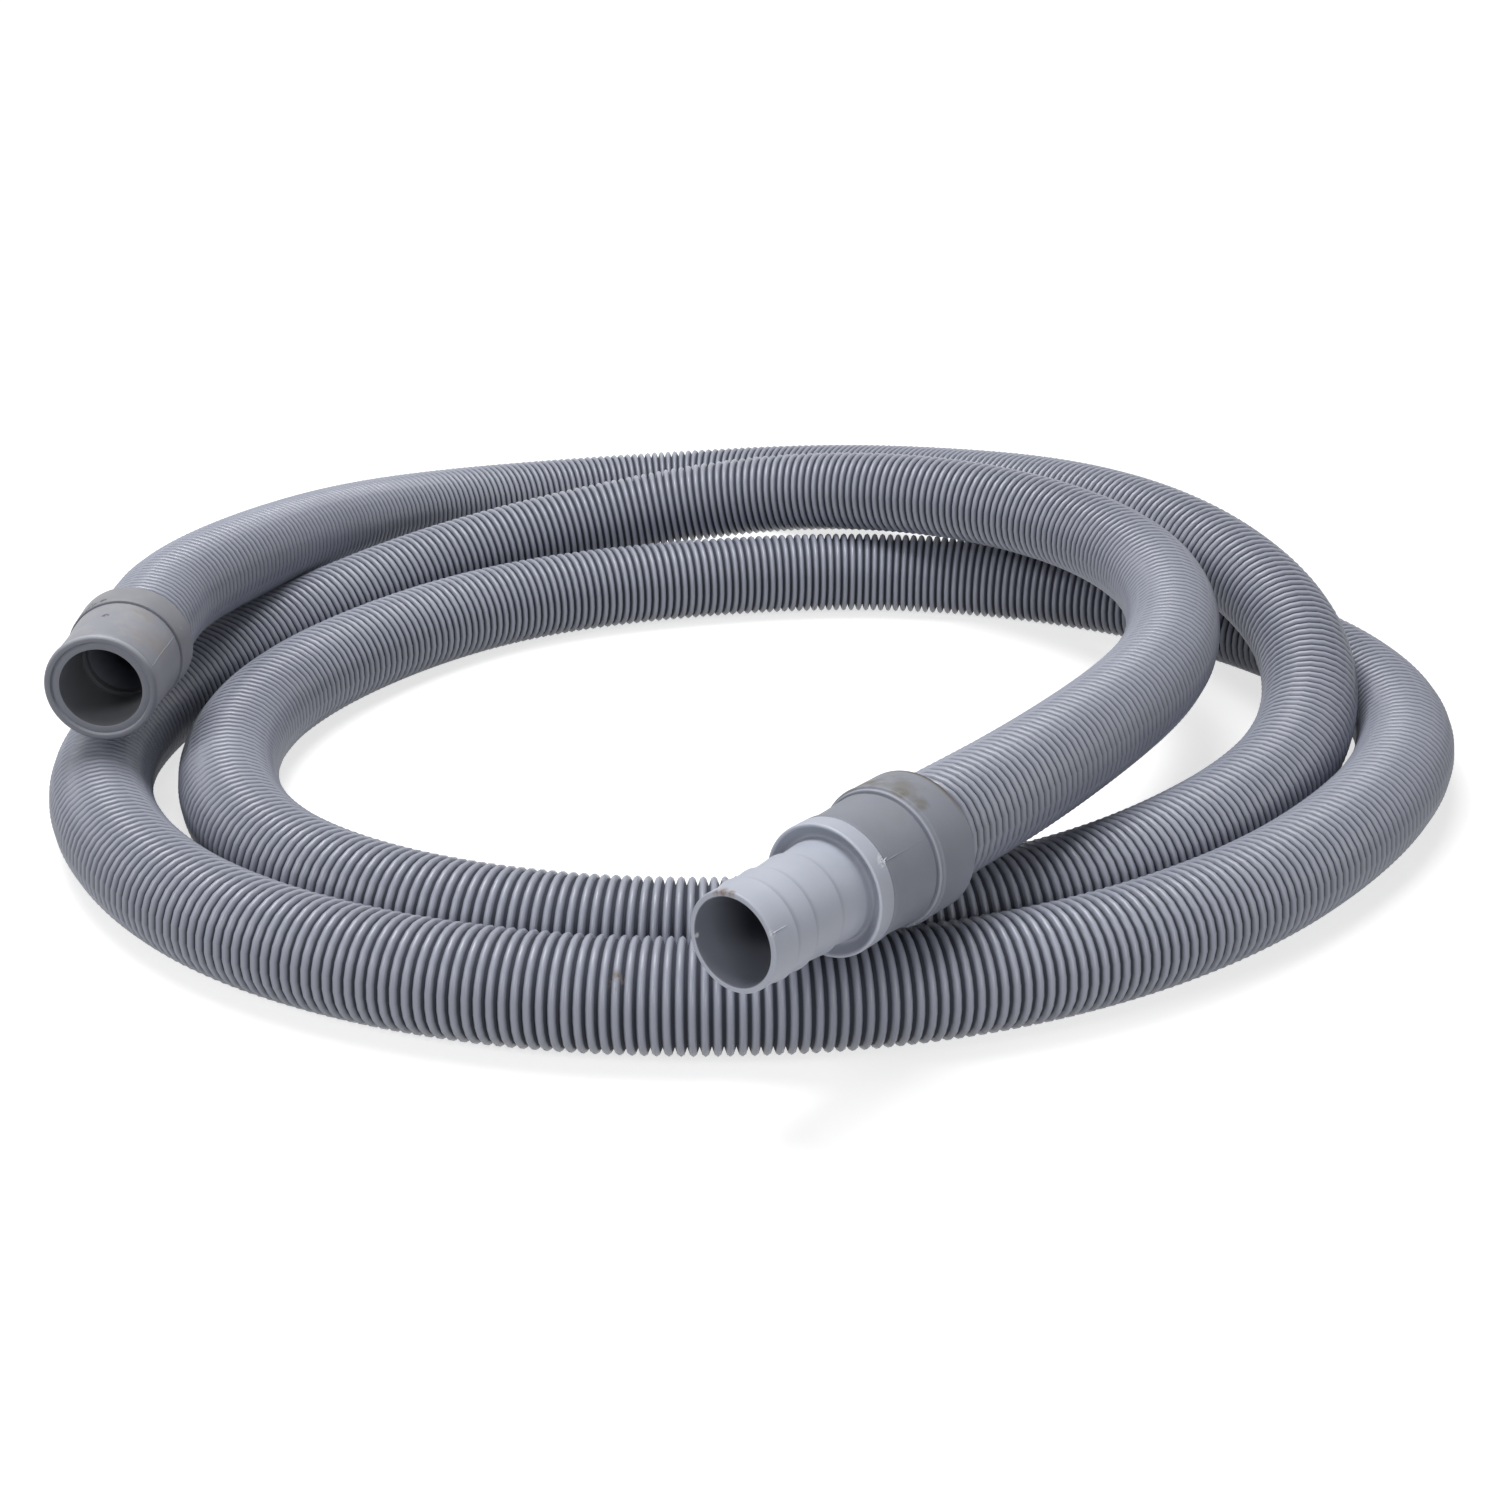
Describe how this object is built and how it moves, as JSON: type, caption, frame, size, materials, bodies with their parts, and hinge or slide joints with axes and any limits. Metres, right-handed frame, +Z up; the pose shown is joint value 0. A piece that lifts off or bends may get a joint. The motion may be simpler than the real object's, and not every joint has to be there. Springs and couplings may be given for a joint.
{
  "type": "waste water hose kit",
  "caption": "Ribbed waste-water hose laid in loose loops, with a moulded push-on cuff on each end and a barbed adapter that pulls out of one cuff.",
  "frame": {"origin": "middle of the coil's outline, on the surface that it lies on", "axes": "+Z up; -Y the front, where both fittings point; +X to the right seen from the front"},
  "size_m": [0.4439, 0.4881, 0.0681],
  "materials": {
    "hose": "satin",
    "cuff": "matte",
    "adapter": "satin"
  },
  "bodies": {
    "hose_assembly": {"hose": "hose", "cuff_left": "cuff", "cuff_right": "cuff"},
    "adapter_body": {"adapter": "adapter"}
  },
  "joints": [
    {"name": "adapter_pull_out", "type": "slide", "parent": "hose_assembly", "child": "adapter_body", "axis": [-0.6178, -0.7849, 0.0472], "range_m": [0, 0.03]}
  ]
}
